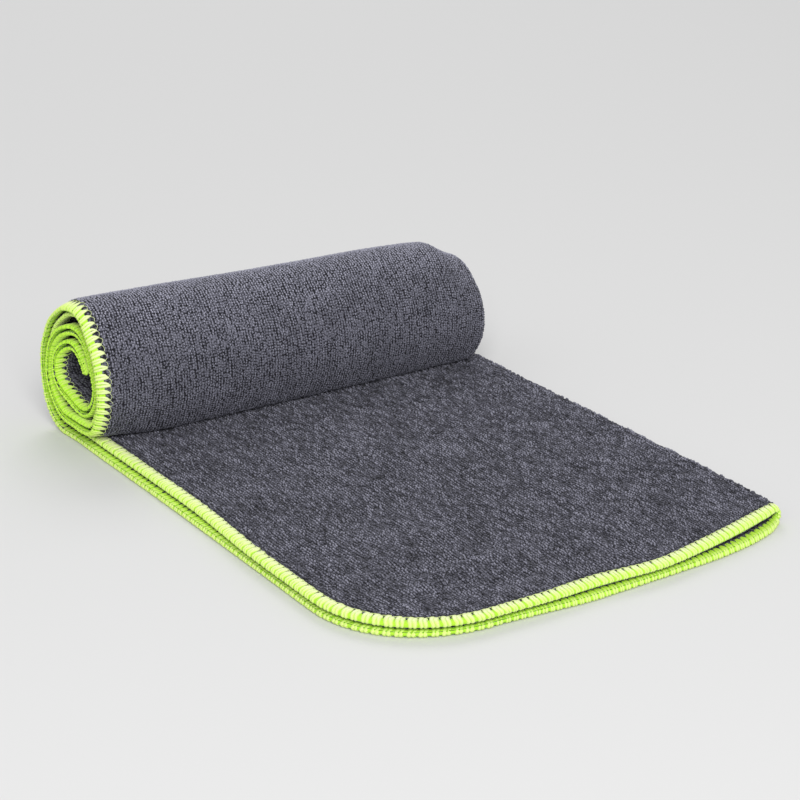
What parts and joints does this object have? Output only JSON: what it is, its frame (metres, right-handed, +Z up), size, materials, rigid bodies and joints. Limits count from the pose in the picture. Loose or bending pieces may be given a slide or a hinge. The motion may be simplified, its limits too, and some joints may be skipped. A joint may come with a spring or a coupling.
{
  "type": "rolled towel",
  "caption": "Small terry towel with an overlocked edge, folded in half lengthwise and rolled up from its far end, its near end lying flat.",
  "frame": {"origin": "middle of the towel's box, at the surface it lies on", "axes": "+X from the open edges to the fold, +Y from the near end to the roll, +Z up"},
  "size_m": [0.2072, 0.2768, 0.0671],
  "materials": {
    "terry_cloth": "short dark grey pile",
    "edging_thread": "lime green overlock thread with a soft sheen"
  },
  "bodies": {
    "root": {"towel_cloth": "terry_cloth", "overlocked_edging": "edging_thread"}
  },
  "joints": []
}
